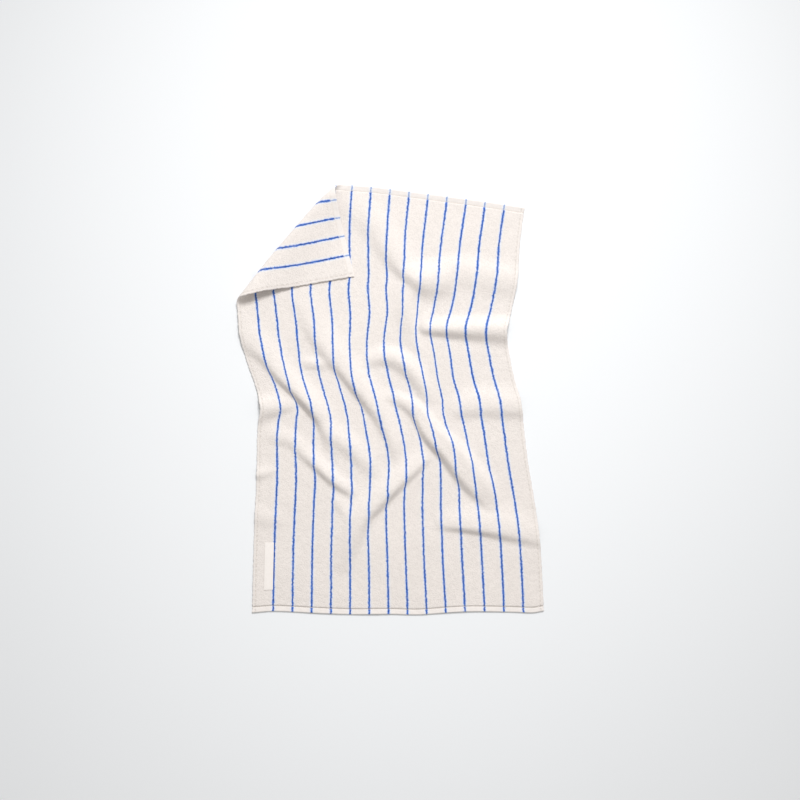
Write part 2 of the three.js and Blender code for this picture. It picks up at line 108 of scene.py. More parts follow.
# Each wrinkle is a row of sections along its crest, from left to right or from top to bottom. far is the
# width of its side on the left hand, towards the top hem, near that of its other side, and back half that of
# its back.
Section = namedtuple("Section", "x y height far near back", defaults=(0,))
WRINKLES = {
    "upper": [
        (-92, 352, 0, 40, 30), (-55, 322, 4, 45, 34), (-22, 288, 6, 45, 34), (3, 250, 8, 45, 30),
        (22, 222, 9, 42, 20), (42, 208, 11, 40, 24), (62, 204, 14, 45, 46), (86, 212, 12, 40, 54),
        (112, 221, 7, 36, 48), (160, 214, 6, 36, 46), (240, 194, 5, 36, 40),
    ],
    "right crease": [
        (46, 120, 0, 12, 5), (62, 120, 8, 24, 12), (100, 120, 12, 28, 20), (150, 120, 13, 28, 28),
        (235, 120, 13, 28, 42),
    ],
    "beside the hollow": [
        (40, 206, 4, 14, 40), (34, 185, 6, 15, 40), (31, 160, 7, 16, 38), (36, 130, 6, 14, 36),
        (44, 100, 3, 12, 26), (58, 70, 0, 12, 12),
    ],
    "in the hollow": [(46, 116, 0, 8, 4), (60, 137, 4, 10, 5), (76, 158, 0, 10, 5)],
    "centre": [
        (-52, 60, 0, 20, 15), (-15, 72, 7, 25, 22), (12, 68, 9, 25, 25), (35, 50, 9, 25, 24),
        (55, 22, 7, 22, 20), (68, -10, 0, 20, 12),
    ],
    "middle left": [
        (-168, 190, 0, 50, 25), (-146, 150, 4, 50, 25), (-131, 115, 6, 50, 23), (-107, 80, 8, 45, 21),
        (-80, 46, 10, 45, 15), (-57, 16, 12, 45, 13), (-31, -15, 11, 40, 15), (-13, -42, 8, 35, 16),
        (5, -82, 5, 30, 14), (15, -118, 0, 25, 12),
    ],
    "across to the middle left": [(-162, 66, 0, 15, 12), (-130, 60, 4, 16, 13), (-98, 58, 0, 15, 12)],
    "left": [
        (-270, 130, 3, 45, 28), (-240, 98, 6, 45, 26), (-215, 72, 8, 45, 18), (-190, 38, 10, 42, 12),
        (-158, 5, 13, 40, 8), (-134, -22, 13, 38, 7), (-118, -44, 8, 34, 11), (-105, -72, 5, 28, 15),
        (-92, -105, 0, 20, 12),
    ],
    "below the left": [
        (-118, -48, 0, 25, 15), (-90, -66, 5, 28, 22), (-62, -90, 6, 28, 22), (-35, -118, 3, 25, 20),
        (-20, -138, 0, 20, 15),
    ],
    "left edge": [
        (-245, -18, 10, 30, 46), (-210, -15, 9, 30, 30), (-185, -14, 5, 28, 14), (-158, -12, 0, 20, 8),
    ],
    "lower left": [
        (-225, -60, 0, 25, 22), (-195, -64, 3, 25, 20), (-168, -74, 4, 25, 16), (-150, -93, 5, 26, 12),
        (-124, -118, 8, 26, 9), (-100, -141, 8, 26, 8), (-78, -156, 6, 24, 8), (-58, -168, 0, 18, 6),
    ],
    "foot of the lower left": [(-106, -160, 0, 20, 10), (-86, -186, 3, 20, 10), (-70, -214, 0, 20, 10)],
    "lower left edge": [(-245, -131, 5, 22, 11), (-220, -130, 4, 20, 9), (-190, -121, 0, 18, 7)],
    "lowest left edge": [(-245, -199, 3, 26, 24), (-210, -204, 2.5, 26, 22), (-176, -212, 0, 20, 16)],
    "lower middle": [
        (-84, -302, 0, 30, 20), (-76, -272, 4, 35, 22), (-68, -246, 7, 40, 25), (-57, -221, 9, 44, 24),
        (-42, -199, 10, 46, 19), (-23, -184, 10, 46, 14), (-5, -167, 11, 46, 11), (12, -150, 10, 46, 10),
        (32, -132, 8, 42, 9), (55, -111, 5, 35, 8), (70, -96, 0, 25, 8),
    ],
    "long roll": [
        (-22, 8, 0, 20, 14, 0), (15, 0, 5, 12, 14, 2), (45, -20, 9, 10, 11, 6), (72, -59, 13, 10, 9, 11),
        (102, -90, 14, 18, 12, 11), (129, -124, 13, 24, 16, 11), (154, -154, 10, 26, 17, 9),
        (180, -192, 0, 20, 12, 3),
    ],
    "right edge": [
        (98, -32, 0, 30, 8), (125, -17, 5, 40, 24), (165, -12, 7, 45, 28), (262, -14, 7, 45, 30),
    ],
    "lower right": [
        (72, -218, 0, 40, 6), (95, -219, 4, 45, 8), (125, -221, 8, 50, 9), (155, -224, 9, 55, 12),
        (200, -230, 8, 55, 18), (270, -244, 4, 50, 20),
    ],
}
CREST_STEPS = 6

# A slip is where the threads lie pulled to one side: around (x, y), by shift along X, over both reaches
Slip = namedtuple("Slip", "x y shift reach_x reach_y")
SLIPS = [
    (120, 215, -7, 90, 70), (-25, 150, 8, 60, 45), (110, 115, -9, 65, 40), (-140, 120, 7, 90, 45),
    (120, 38, -9, 52, 45), (135, 25, -5.5, 55, 110), (-45, 30, -7, 60, 45), (-145, 25, -5, 60, 35),
    (-205, -5, 4, 30, 40), (85, -25, -7, 50, 35), (-20, -32, -5, 38, 30), (160, -20, -6, 60, 40),
    (168, -95, -5, 35, 70), (-10, -105, 5, 70, 45), (-120, -150, 2.5, 100, 60), (100, -270, -4.5, 90, 80),
    (-190, 385, 4, 90, 70),
]

# Working grids: threads followed to lay the cloth, and the even plan grid that holds the relief
THREADS_ACROSS = 200
THREADS_ALONG = 320
LAYING_PASSES = 10
PLAN_STEP = 2
PLAN_REACH = (300, 410)
SOFTENING_PASSES = 4
FIT_STEP = 5

# Soft lumps under the cloth: the widths of their patches, and the share of each that stays level
LUMP_PATCHES = (45, 18)
LUMP_LEVEL = 0.45

# Bulges of the long sides: reach inwards, and for each wave its share, turns, stray and the stray's turns
BULGE_REACH = 4
SIDE_WAVES = ((1, 0.83, 1.7, 0.11), (0.7, 0.31, 2, 0.07))

# Seams: how deep each presses the cloth in, and how far to each side
END_SEAM = (0.8, 0.9)
SIDE_SEAM = (0.25, 0.8)
LABEL_SEAM = (0.25, 0.5)

# Stitches: how far outside the seam, off the cloth and short of its edges, and the points of a path
END_STITCH_OUT = 0.6
SIDE_STITCH_OUT = 0.5
STITCH_LIFT = 0.1
SEAM_END = 2
SEAM_POINTS = (400, 640)

# Roundness of the cut edges, and the share of the curl that the bottom hem has
EDGE_ROUNDING = 0.85
BOTTOM_CURL = 0.3

# Steps of the mesh in from an edge, close together where it is turned and sewn
END_STEPS = (0, 0.4, 1, 2, 4, 6.5, 8.5, 9.4, 10, 10.6, 11.5, 13)
SIDE_STEPS = (0, 0.4, 1, 2, 3.5, 4.7, 5.3, 6, 7, 8.5)
LABEL_STEPS = (0, 0.3, 0.8, 1.5)
LABEL_CELL = (1.5, 2.0)

# Finish of the terry. A pair is where a soft edge starts and ends, and lengths are in millimetres.
LOOP_STRAY = 0.85
LOOP_FALL = 1.25
LOOP_TOP = (0.05, 0.7)
FINE_PATCH = 9.0
WIDE_PATCH = 60.0
FLAT_RIM = 2.5
FLECK_EDGE = (0.43, 0.58)
SEAM_FADE = (0.2, 1.4)
DIMPLE_PITCH = 9
DIMPLE_EDGE = (0.4, 1.8)
STRIPE_EDGE = (-0.6, 0.9)
STRIPE_SWELL = 1.3
CORE_EDGE = (-1.3, -0.2)
HALO_START = 0.6
RAGGED = 0.75

# Colours that have no setting of their own
LABEL_SHADE = (0.87, 0.82, 0.785)
COTTON = (0.86, 0.80, 0.73)


def ease(t):
    """Smooth step from 0 to 1."""
    t = np.clip(t, 0, 1)
    return t * t * (3 - 2 * t)


def blend(a, b, t):
    return a + (b - a) * t


def through_rows(rows, by, out, t):
    """Smooth curve through a table of rows: the value in column `out` where column `by` equals t."""
    at, value = np.array(sorted((row[by], row[out]) for row in rows), float).T
    place = np.arange(len(at))
    before = np.maximum(place - 1, 0)
    after = np.minimum(place + 1, len(at) - 1)
    slope = (value[after] - value[before]) / (at[after] - at[before])
    i = np.clip(np.searchsorted(at, t, side="right") - 1, 0, len(at) - 2)
    span = at[i + 1] - at[i]
    s = (t - at[i]) / span
    return (
        (2 * s**3 - 3 * s**2 + 1) * value[i]
        + (s**3 - 2 * s**2 + s) * span * slope[i]
        + (3 * s**2 - 2 * s**3) * value[i + 1]
        + (s**3 - s**2) * span * slope[i + 1]
    )


def ramp_height(q, height, width):
    """Height left at distance q from a wrinkle's crest: two round bends and a straight slope between."""
    height = np.maximum(height, 1e-6)
    steep = 2 * height / width
    secant = np.hypot(1, steep)
    bend = height / (2 * (secant - 1))
    bend_width = bend * steep / secant
    q = np.clip(q, 0, width)
    crest = height - bend + np.sqrt(np.maximum(bend**2 - q**2, 0))
    slope = height - bend * (1 - 1 / secant) - (q - bend_width) * steep
    foot = bend - np.sqrt(np.maximum(bend**2 - (width - q) ** 2, 0))
    return np.where(q < bend_width, crest, np.where(q > width - bend_width, foot, slope))


def crest_line(sections):
    """Even steps along a wrinkle's crest, smooth through its sections."""
    rows = [(k, *Section(*section)) for k, section in enumerate(sections)]
    at = np.linspace(0, len(rows) - 1, (len(rows) - 1) * CREST_STEPS + 1)
    return np.stack([through_rows(rows, 0, column, at) for column in range(1, len(rows[0]))], 1)


def wrinkle_height(sections, x, y):
    """Height of one wrinkle at the points x, y, by the nearest place on its crest."""
    crest = crest_line(sections)
    nearest = np.full(x.shape, np.inf)
    side = np.zeros(x.shape)
    found = np.zeros((*x.shape, 4))
    for start, end in zip(crest[:-1], crest[1:]):
        step_x, step_y = end[:2] - start[:2]
        run = step_x**2 + step_y**2
        share = np.clip(((x - start[0]) * step_x + (y - start[1]) * step_y) / run, 0, 1)
        off_x = x - start[0] - share * step_x
        off_y = y - start[1] - share * step_y
        away = np.hypot(off_x, off_y)
        closer = away < nearest
        nearest[closer] = away[closer]
        side[closer] = (step_x * off_y - step_y * off_x)[closer]
        found[closer] = blend(start[2:], end[2:], share[..., None])[closer]
    height, far, near, back = np.moveaxis(found, -1, 0)
    return ramp_height(nearest - back, np.maximum(height, 0), np.where(side > 0, far, near))


def soften(grid):
    """One pass of evening out between each point of a grid and its neighbours."""
    wide = np.pad(grid, 1, mode="edge")
    down = (wide[:-2] + 2 * wide[1:-1] + wide[2:]) / 4
    return (down[:, :-2] + 2 * down[:, 1:-1] + down[:, 2:]) / 4


def spline_weights(t):
    return (0.5 - t) ** 2 / 2, 0.75 - t**2, (0.5 + t) ** 2 / 2


def read_grid(grid, column, row):
    """Value of a grid between its points, by quadratic spline, so that slopes run on smoothly."""
    i = np.clip(np.rint(column).astype(int), 1, grid.shape[1] - 2)
    j = np.clip(np.rint(row).astype(int), 1, grid.shape[0] - 2)
    total = 0
    for step_j, weight_j in zip((-1, 0, 1), spline_weights(np.clip(row - j, -0.5, 0.5))):
        for step_i, weight_i in zip((-1, 0, 1), spline_weights(np.clip(column - i, -0.5, 0.5))):
            total = total + weight_j * weight_i * grid[j + step_j, i + step_i]
    return total


def even_out(rows):
    """Slides the points of each row along it until equal lengths of thread lie between them."""
    for row in rows:
        run = np.append(0, np.cumsum(np.linalg.norm(np.diff(row, axis=0), axis=1)))
        wanted = np.linspace(0, run[-1], len(row))
        for k in range(3):
            row[:, k] = np.interp(wanted, run, row[:, k])


def groove(away, depth, reach):
    """How far a seam presses the cloth in, at this distance from it."""
    return depth * np.exp(-((away / reach) ** 2))


class LaidCloth:
    """The towel's cloth laid out over its wrinkles, in millimetres."""

    def __init__(self, pile, hem, hem_depth, curl, side_hem, wave, unevenness, seed):
        self.pile = pile
        self.hem = hem
        self.hem_depth = hem_depth
        self.curl = curl
        self.side_hem = side_hem
        self.wave = wave
        self.relief = self.make_relief(unevenness, seed)
        self.threads = self.lay_threads()
        self.shift = np.zeros(3)

    def make_relief(self, unevenness, seed):
        """Height of what the cloth lies on, at the points of an even plan grid."""
        reach_x, reach_y = PLAN_REACH
        x, y = np.meshgrid(
            np.arange(-reach_x, reach_x + PLAN_STEP, PLAN_STEP, float),
            np.arange(-reach_y, reach_y + PLAN_STEP, PLAN_STEP, float),
        )
        relief = sum(wrinkle_height(sections, x, y) for sections in WRINKLES.values())
        for _ in range(SOFTENING_PASSES):
            relief = soften(relief)
        chance = np.random.default_rng(seed)
        for patch in LUMP_PATCHES:
            shape = (2 * reach_y // patch + 4, 2 * reach_x // patch + 4)
            lumps = chance.random(shape)
            lumps = read_grid(lumps, (x + reach_x) / patch + 1, (y + reach_y) / patch + 1)
            relief += unevenness * (patch / LUMP_PATCHES[0]) * np.clip(lumps - LUMP_LEVEL, 0, 1)
        return relief

    def ground(self, x, y):
        return read_grid(self.relief, (x + PLAN_REACH[0]) / PLAN_STEP, (y + PLAN_REACH[1]) / PLAN_STEP)

    def lay_threads(self):
        """Plan places of the threads' crossings, corner flat, with even steps along each thread."""
        across = np.linspace(0, 1, THREADS_ACROSS + 1)
        along = np.linspace(0, 1, THREADS_ALONG + 1)
        ends = []
        for rows in (EDGE_TOP, EDGE_BOTTOM):
            x = blend(rows[0][0], rows[-1][0], across)
            ends.append(np.stack([x, through_rows(rows, 0, 1, x)], 1)[None])
        sides = []
        for rows in (EDGE_LEFT, EDGE_RIGHT):
            y = blend(rows[0][1], rows[-1][1], along)
            sides.append(np.stack([through_rows(rows, 1, 0, y), y], 1)[:, None])
        u = across[None, :, None]
        v = along[:, None, None]
        corners = blend(*(blend(row[:, :1], row[:, -1:], u) for row in ends), v)
        plan = blend(sides[0], sides[1], u) + blend(ends[0], ends[1], v) - corners
        points = np.concatenate([plan, np.zeros_like(plan[..., :1])], 2)
        for _ in range(LAYING_PASSES):
            for rows in (points, points.transpose(1, 0, 2)):
                points[..., 2] = self.ground(points[..., 0], points[..., 1])
                even_out(rows)
        inside = 2 * np.sqrt(u * (1 - u))[..., 0]
        x, y = points[..., 0], points[..., 1]
        pull = 0
        for slip in map(Slip._make, SLIPS):
            away = ((x - slip.x) / slip.reach_x) ** 2 + ((y - slip.y) / slip.reach_y) ** 2
            pull = pull + slip.shift * np.exp(-away)
        return np.stack([x + inside * pull, y], 2)

    def plan(self, u, v):
        """Plan place of the point u across and v down the cloth, corner flat."""
        across = np.clip(u / CLOTH_WIDTH, 0, 1) * THREADS_ACROSS
        along = np.clip(v / CLOTH_LENGTH, 0, 1) * THREADS_ALONG
        i = np.minimum(across.astype(int), THREADS_ACROSS - 1)
        j = np.minimum(along.astype(int), THREADS_ALONG - 1)
        s = (across - i)[..., None]
        t = (along - j)[..., None]
        upper = blend(self.threads[j, i], self.threads[j, i + 1], s)
        lower = blend(self.threads[j + 1, i], self.threads[j + 1, i + 1], s)
        place = blend(upper, lower, t)
        return place[..., 0] + self.side_wave(u, v), place[..., 1]

    def side_wave(self, u, v):
        """The two long sides bulge a little between the stitches of their hems."""
        outward = np.exp(-(((CLOTH_WIDTH - u) / BULGE_REACH) ** 2)) - np.exp(-((u / BULGE_REACH) ** 2))
        bulge = sum(
            share * np.sin(v * turns + stray * np.sin(v * stray_turns))
            for share, turns, stray, stray_turns in SIDE_WAVES
        )
        return self.wave * outward * bulge

    def full_thickness(self, v):
        """Pile in the field, flat weave in the two end hems."""
        end = np.minimum(v, CLOTH_LENGTH - v)
        return blend(self.hem, self.pile, ease((end - self.hem_depth) / HEM_STEP))

    def thickness(self, u, v):
        """Thickness with the sewn line pulled in and the cut edges rounded."""
        end = np.minimum(v, CLOTH_LENGTH - v)
        side = np.minimum(u, CLOTH_WIDTH - u)
        full = self.full_thickness(v)
        full = full - groove(end - self.hem_depth, *END_SEAM) - groove(side - self.side_hem, *SIDE_SEAM)
        to_rim = np.clip(2 * np.minimum(end, side) / full, 0, 1)
        return full * np.sqrt(1 - EDGE_ROUNDING * (1 - to_rim) ** 2)

    def middle(self, u, v):
        """Middle of the cloth's thickness at u across and v down, with the corner folded over."""
        end = np.minimum(v, CLOTH_LENGTH - v)
        x, y = self.plan(u, v)
        crease = np.subtract(CREASE_LEFT, CREASE_TOP)
        length = np.hypot(*crease)
        along = crease / length
        p = (x - CREASE_TOP[0]) * along[0] + (y - CREASE_TOP[1]) * along[1]
        q = (x - CREASE_TOP[0]) * along[1] - (y - CREASE_TOP[1]) * along[0]
        share = np.clip(p / length, 0, 1)
        radius = through_rows(ROLL_ROWS, 0, 2, share)
        start = -through_rows(ROLL_ROWS, 0, 1, share) - np.pi / 2 * radius
        past = q - start
        turn = np.clip(past / radius, 0, np.pi)
        back = np.maximum(past - np.pi * radius, 0)
        out = np.where(past > 0, start + radius * np.sin(turn) - back, q)
        place_x = CREASE_TOP[0] + p * along[0] + out * along[1]
        place_y = CREASE_TOP[1] + p * along[1] - out * along[0]
        ground = self.ground(place_x, place_y)
        settled = ease(back / FLAP_SETTLE)
        hem_share = np.where(v < self.hem_depth, 1, BOTTOM_CURL)
        curl = np.where(past > 0, 0, self.curl * np.clip(1 - end / self.hem_depth, 0, 1) * hem_share)
        lifted = curl + np.where(
            turn < np.pi,
            radius * (1 - np.cos(turn)) + ground * (1 - ease(turn / np.pi)),
            blend(2 * radius, self.pile + LAYER_GAP + ground, settled),
        )
        return np.stack([place_x, place_y, self.full_thickness(v) / 2 + lifted], -1)

    def frame(self, u, v):
        """Middle of the cloth and the way its front faces there."""
        u, v = np.broadcast_arrays(np.asarray(u, float), np.asarray(v, float))
        step = 1.0
        down = self.middle(u, np.minimum(v + step, CLOTH_LENGTH)) - self.middle(u, np.maximum(v - step, 0))
        across = self.middle(np.minimum(u + step, CLOTH_WIDTH), v) - self.middle(np.maximum(u - step, 0), v)
        up = np.cross(down, across)
        return self.middle(u, v), up / np.linalg.norm(up, axis=-1, keepdims=True)

    def place(self, u, v, lift):
        """Places in metres of the points that stand `lift` millimetres off the middle of the cloth."""
        middle, up = self.frame(u, v)
        points = (middle + up * np.asarray(lift)[..., None] + self.shift) * MM
        points[..., 2] = np.maximum(points[..., 2], 0)
        return points


@lru_cache
def lay_cloth(*sizes):
    """The cloth for these sizes, shifted so that its outline fits the part's solid."""
    cloth = LaidCloth(*sizes)
    u, v = np.meshgrid(
        np.linspace(0, CLOTH_WIDTH, CLOTH_WIDTH // FIT_STEP + 1),
        np.linspace(0, CLOTH_LENGTH, CLOTH_LENGTH // FIT_STEP + 1),
    )
    points = cloth.place(u, v, cloth.thickness(u, v) / 2).reshape(-1, 3)
    low, high = (np.array(corner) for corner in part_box("towel"))
    cloth.shift = (low + high - points.min(0) - points.max(0)) / (2 * MM) * (1, 1, 0)
    return cloth


def cloth_of(context):
    """The cloth for the scene's settings, in the order in which LaidCloth takes them."""
    sizes = context.scene.towel_cloth
    names = ("pile", "hem", "hem_depth", "hem_curl", "side_hem", "side_wave", "unevenness")
    return lay_cloth(*(getattr(sizes, name) / MM for name in names), sizes.seed)


def steps_between(length, edge, cell):
    """Steps across a sheet: those in `edge` at both ends, and even ones of about `cell` between them."""
    edge = np.array(edge, float)
    count = round((length - 2 * edge[-1]) / cell)
    inner = np.linspace(edge[-1], length - edge[-1], count + 1)
    return np.concatenate([edge[:-1], inner, (length - edge[:-1])[::-1]])


def put(name, data):
    """A new object in the scene for this mesh, light or camera."""
    item = bpy.data.objects.new(name, data)
    bpy.context.scene.collection.objects.link(item)
    return item


def sheet_object(name, cloth, us, vs, top, bottom, flat_map):
    """A closed sheet on the lattice us by vs, from `bottom` to `top` off the middle of the cloth."""
    u, v = np.meshgrid(us, vs)
    points = np.concatenate([cloth.place(u, v, lift(u, v)).reshape(-1, 3) for lift in (top, bottom)])
    rows, columns = u.shape
    number = np.arange(rows * columns).reshape(rows, columns)
    upper = np.stack([number[:-1, :-1], number[1:, :-1], number[1:, 1:], number[:-1, 1:]], -1).reshape(-1, 4)
    lower = upper[:, ::-1] + rows * columns
    rim = np.concatenate([number[:, 0], number[-1, 1:], number[-2::-1, -1], number[0, -2:0:-1]])
    onward = np.roll(rim, -1)
    wall = np.stack([rim, rim + rows * columns, onward + rows * columns, onward], -1)
    faces = np.concatenate([upper, lower, wall])
    mesh = bpy.data.meshes.new(name)
    mesh.from_pydata(points, [], faces.tolist())
    layer = mesh.uv_layers.new(name="ClothMap")
    measures = np.tile(np.stack([share.ravel() for share in flat_map(u, v)], 1), (2, 1))
    layer.uv.foreach_set("vector", measures[faces.ravel()].astype(np.float32).ravel())
    mesh.shade_smooth()
    mesh.update()
    return put(name, mesh)


class Nodes:
    """Fills a node tree. add() makes a node, sets its inputs by name or number, and links sockets."""

    def __init__(self, tree):
        self.tree = tree

    def link(self, start, end):
        self.tree.links.new(start, end)

    def add(self, kind, inputs=None, **settings):
        node = self.tree.nodes.new(kind)
        for name, value in settings.items():
            setattr(node, name, value)
        for key, value in (inputs or {}).items():
            if isinstance(value, bpy.types.NodeSocket):
                self.link(value, node.inputs[key])
            else:
                node.inputs[key].default_value = value
        return node

    def math(self, operation, *values, clamp=False):
        node = self.add("ShaderNodeMath", dict(enumerate(values)), operation=operation, use_clamp=clamp)
        return node.outputs[0]

    def times(self, first, second):
        return self.math("MULTIPLY", first, second)

    def line(self, value, slope, start):
        """start + slope * value."""
        return self.math("MULTIPLY_ADD", value, slope, start)

    def rest(self, mask):
        return self.math("SUBTRACT", 1.0, mask)

    def distance(self, first, second):
        return self.math("ABSOLUTE", self.math("SUBTRACT", first, second))

    def vector(self, operation, *values):
        node = self.add("ShaderNodeVectorMath", dict(enumerate(values)), operation=operation)
        return node.outputs[0]

    def part(self, vector, axis):
        return self.add("ShaderNodeSeparateXYZ", {"Vector": vector}).outputs[axis]

    def mix_colour(self, share, first, second, blend_type="MIX"):
        inputs = {0: share, 6: first, 7: second}
        return self.add("ShaderNodeMix", inputs, data_type="RGBA", blend_type=blend_type).outputs[2]

    def mix_value(self, share, first, second):
        return self.add("ShaderNodeMix", {0: share, 2: first, 3: second}).outputs[0]

    def noise(self, place, scale, detail, roughness=0.5):
        inputs = {"Vector": place, "Scale": scale, "Detail": detail, "Roughness": roughness}
        return self.add("ShaderNodeTexNoise", inputs).outputs[0]

    def ramp(self, value, low, high):
        """0 at low and beyond it, 1 at high and beyond it, smooth between them."""
        inputs = {"Value": value, "From Min": low, "From Max": high}
        return self.add("ShaderNodeMapRange", inputs, interpolation_type="SMOOTHSTEP").outputs[0]

    def bump(self, height, strength, distance):
        inputs = {"Strength": strength, "Distance": distance, "Height": height}
        return self.add("ShaderNodeBump", inputs).outputs[0]

    def group(self, tree, **inputs):
        named = {name.replace("_", " "): value for name, value in inputs.items()}
        return self.add("ShaderNodeGroup", named, node_tree=tree).outputs


def add_sockets(tree, inputs, outputs):
    """Gives a node group its inputs, each with its kind and default, and its outputs."""
    for label, kind, value in inputs:
        socket = tree.interface.new_socket(label, in_out="INPUT", socket_type="NodeSocket" + kind)
        if value is not None:
            socket.default_value = value
    for label, kind in outputs:
        tree.interface.new_socket(label, in_out="OUTPUT", socket_type="NodeSocket" + kind)


def new_group(name, inputs, outputs):
    """An empty shader group, as (its nodes, its inputs, the sockets that its results go to)."""
    tree = bpy.data.node_groups.new(name, "ShaderNodeTree")
    add_sockets(tree, inputs, outputs)
    nodes = Nodes(tree)
    given = nodes.add("NodeGroupInput").outputs
    return nodes, given, nodes.add("NodeGroupOutput").inputs


def pile_group():
    """Terry loops: height, a tint of each loop's own, and the loop's middle. Place is in millimetres."""
    nodes, given, result = new_group(
        "Terry Loops",
        [("Place", "Vector", None), ("Loop Size", "Float", 1.7)],
        [("Height", "Float"), ("Tint", "Float"), ("Middle", "Vector")],
    )
    sides = {"X": given["Loop Size"], "Y": given["Loop Size"], "Z": 1.0}
    size = nodes.add("ShaderNodeCombineXYZ", sides).outputs[0]
    scaled = nodes.vector("DIVIDE", given["Place"], size)
    inputs = {"Vector": scaled, "Scale": 1.0, "Randomness": LOOP_STRAY}
    cells = nodes.add("ShaderNodeTexVoronoi", inputs).outputs
    height = nodes.math("SUBTRACT", 1.0, nodes.times(cells["Distance"], LOOP_FALL), clamp=True)
    tint = nodes.add("ShaderNodeSeparateColor", {"Color": cells["Color"]}).outputs[0]
    nodes.link(height, result["Height"])
    nodes.link(tint, result["Tint"])
    nodes.link(nodes.vector("MULTIPLY", cells["Position"], size), result["Middle"])
    return nodes.tree


def weave_group():
    """Plain weave: the height of threads that cross over and under. Place is in millimetres."""
    nodes, given, result = new_group(
        "Plain Weave", [("Place", "Vector", None), ("Pitch", "Float", 0.9)], [("Height", "Float")]
    )
    waves = []
    for axis in (0, 1):
        turns = nodes.math("DIVIDE", nodes.times(nodes.part(given["Place"], axis), np.pi), given["Pitch"])
        waves.append(nodes.math("SINE", turns))
    nodes.link(nodes.line(nodes.times(*waves), 0.5, 0.5), result["Height"])
    return nodes.tree


def patch_group():
    """Soft uneven patches from 0 to 1. Place is in millimetres."""
    nodes, given, result = new_group(
        "Uneven Patches", [("Place", "Vector", None), ("Patch Size", "Float", 12.0)], [("Value", "Float")]
    )
    scale = nodes.math("DIVIDE", 1.0, given["Patch Size"])
    nodes.link(nodes.ramp(nodes.noise(given["Place"], scale, 3.0, 0.55), 0.3, 0.7), result["Value"])
    return nodes.tree


@lru_cache
def shared_groups():
    return {"loops": pile_group(), "weave": weave_group(), "patches": patch_group()}


def patches(nodes, place, size):
    return nodes.group(shared_groups()["patches"], Place=place, Patch_Size=size)["Value"]


def weave(nodes, place, pitch):
    return nodes.group(shared_groups()["weave"], Place=place, Pitch=pitch)["Height"]


def cloth_place(nodes, width, length):
    """Place on a sheet of this flat size, in millimetres."""
    uv = nodes.add("ShaderNodeUVMap", uv_map="ClothMap").outputs[0]
    return nodes.vector("MULTIPLY", uv, (width, length, 0))


def new_material(name, roughness, sheen):
    """A material with a Principled shader, as (material, its nodes, the shader's inputs)."""
    material = bpy.data.materials.new(name)
    material.use_nodes = True
    shader = material.node_tree.nodes["Principled BSDF"].inputs
    shader["Roughness"].default_value = roughness
    shader["Specular IOR Level"].default_value = 0.2
    shader["Sheen Weight"].default_value = sheen
    shader["Sheen Roughness"].default_value = 0.6
    return material, Nodes(material.node_tree), shader


def opaque(colour):
    return (*colour, 1.0)


def terry_material(sizes, looks):
    """Looped cotton pile with woven-in stripes, flat in the end hems and paler in the top one, with painted
    shade between the loops and in the side seams' dimples.
    """
    material, nodes, shader = new_material("terry_striped", 0.95, looks.sheen)
    hem_depth = sizes.hem_depth / MM
    place = cloth_place(nodes, CLOTH_WIDTH, CLOTH_LENGTH)
    loops = nodes.group(shared_groups()["loops"], Place=place, Loop_Size=looks.loop / MM)
    across = nodes.part(place, 0)
    down = nodes.part(place, 1)
    end = nodes.math("MINIMUM", down, nodes.math("SUBTRACT", CLOTH_LENGTH, down))
    side = nodes.math("MINIMUM", across, nodes.math("SUBTRACT", CLOTH_WIDTH, across))
    flattened = nodes.ramp(side, sizes.side_hem / MM, FLAT_RIM)
    top_hem = nodes.math("LESS_THAN", down, hem_depth)
    in_hem = nodes.math("LESS_THAN", end, hem_depth)

    stripe, core, halo = stripe_masks(nodes, looks, place, loops["Middle"], top_hem)
    off_seam = nodes.ramp(nodes.distance(end, hem_depth), *SEAM_FADE)
    stripe = nodes.times(stripe, nodes.line(off_seam, 0.4, 0.6))
    dark = nodes.times(core, nodes.ramp(nodes.noise(place, 0.4, 2.0, 0.7), *FLECK_EDGE))
    blue = nodes.mix_colour(dark, opaque(looks.blue), opaque(looks.navy))
    blue = nodes.mix_colour(top_hem, blue, opaque(looks.hem_blue))
    pale = nodes.math("MAXIMUM", in_hem, nodes.times(flattened, 0.6))
    ground = nodes.mix_colour(pale, opaque(looks.cream), opaque(looks.hem_cream))
    ground = nodes.mix_colour(halo, ground, opaque(looks.tinted))
    colour = nodes.mix_colour(stripe, ground, blue)

    fine = patches(nodes, place, FINE_PATCH)
    wide = patches(nodes, place, WIDE_PATCH)
    # Painted shade: the colour is darkened by a tenth in the gaps between pile loops. It stays full on the
    # loop tops and in the flat hems.
    painted_loop_gap_shade = nodes.mix_value(in_hem, nodes.ramp(loops["Height"], *LOOP_TOP), 1.0)
    dimples = seam_dimples(nodes, sizes, side, down)
    # The patches and each loop's tint are the cloth's own uneven tone; the loop gaps and seam dimples add
    # painted shade.
    shade = 1.0
    for mask, depth in ((fine, 0.035), (wide, 0.02), (painted_loop_gap_shade, 0.10), (loops["Tint"], 0.05)):
        shade = nodes.times(shade, nodes.line(mask, depth, 1 - depth))
    # Painted shade in the side seams' dimples: the colour is up to 0.12 darker where the seam pulls the pile
    # in.
    shade = nodes.times(shade, nodes.line(dimples, -0.12, 1.0))
    grey = nodes.add("ShaderNodeCombineColor", dict.fromkeys(range(3), shade)).outputs[0]
    nodes.link(nodes.mix_colour(1.0, colour, grey, "MULTIPLY"), shader["Base Color"])

    flat = nodes.times(weave(nodes, place, looks.thread / MM), 0.2)
    height = nodes.mix_value(in_hem, loops["Height"], flat)
    height = nodes.times(height, nodes.line(flattened, -0.5, 1.0))
    for mask, lift in ((fine, 0.5), (dimples, -0.8)):
        height = nodes.math("ADD", height, nodes.times(mask, lift))
    nodes.link(nodes.bump(height, looks.bump, looks.loop / 2), shader["Normal"])
    return material


